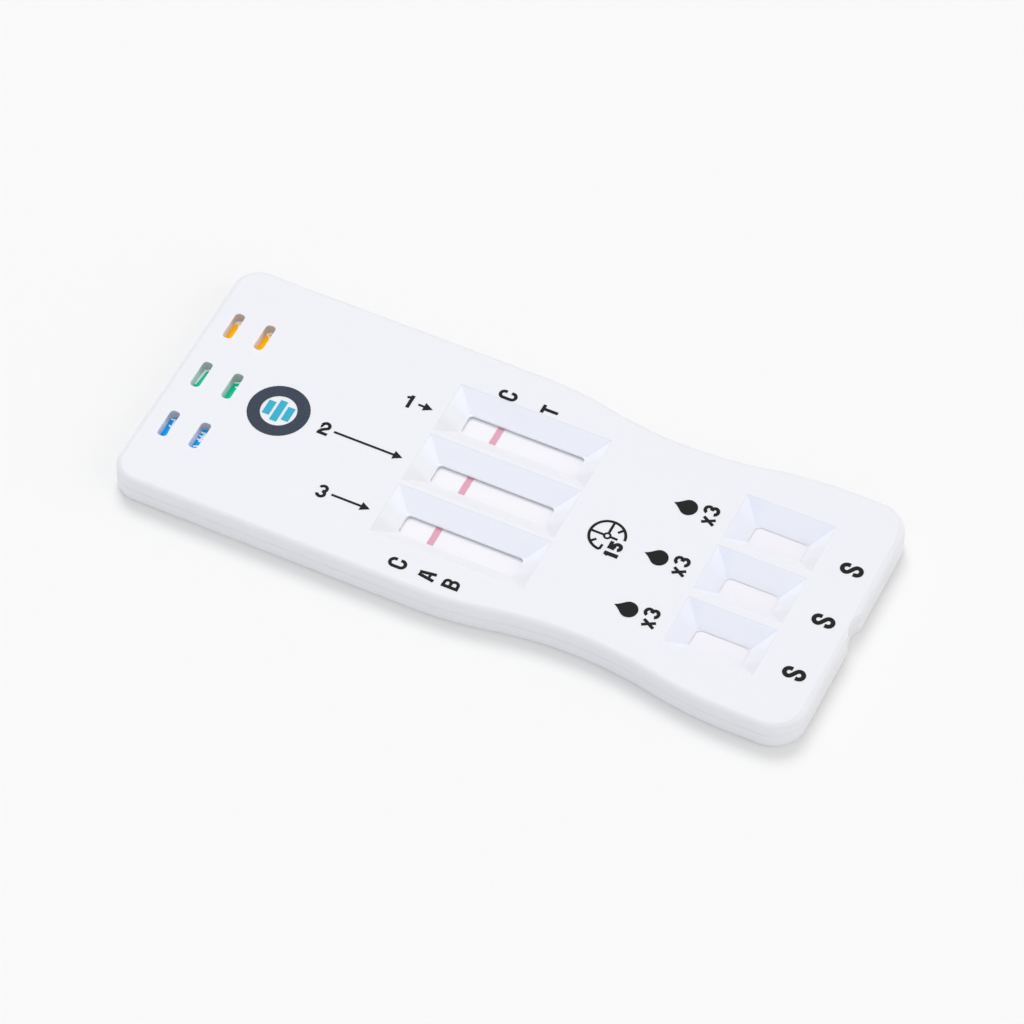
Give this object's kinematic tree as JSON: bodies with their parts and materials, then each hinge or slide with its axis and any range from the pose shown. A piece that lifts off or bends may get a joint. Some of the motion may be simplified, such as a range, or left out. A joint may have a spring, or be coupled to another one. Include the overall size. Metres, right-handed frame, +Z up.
{
  "type": "lateral flow cassette",
  "caption": "Flat white two-shell cassette with test strips side by side under bevelled windows, sample wells and tape slots, with waisted sides and a thumb notch.",
  "frame": {"origin": "centre of the casing's length and width, on the underside", "axes": "+X along the length towards the sample wells, +Y across to the back lane, +Z up out of the top face"},
  "size_m": [0.087, 0.0352, 0.0038],
  "materials": {
    "shell_plastic": "satin moulded polystyrene, printed in black on its top face",
    "backing_card": "smooth adhesive-faced card",
    "membrane": "fine porous nitrocellulose with a pink control line",
    "absorbent_pad": "pressed cotton fibre",
    "conjugate_pad": "glass fibre dried with pink conjugate",
    "sample_pad": "pressed fibre",
    "print_ink": "thin matt black pad print",
    "back_tape": "thin printed film, orange",
    "middle_tape": "thin printed film, green",
    "front_tape": "thin printed film, blue"
  },
  "bodies": {
    "root": {"top_shell": "shell_plastic", "bottom_shell": "shell_plastic", "back_strip_backing_card": "backing_card", "back_strip_membrane": "membrane", "back_strip_absorbent_pad": "absorbent_pad", "back_strip_conjugate_pad": "conjugate_pad", "back_strip_sample_pad": "sample_pad", "back_strip_handle_tape": "back_tape", "middle_strip_backing_card": "backing_card", "middle_strip_membrane": "membrane", "middle_strip_absorbent_pad": "absorbent_pad", "middle_strip_conjugate_pad": "conjugate_pad", "middle_strip_sample_pad": "sample_pad", "middle_strip_handle_tape": "middle_tape", "front_strip_backing_card": "backing_card", "front_strip_membrane": "membrane", "front_strip_absorbent_pad": "absorbent_pad", "front_strip_conjugate_pad": "conjugate_pad", "front_strip_sample_pad": "sample_pad", "front_strip_handle_tape": "front_tape"}
  },
  "joints": []
}
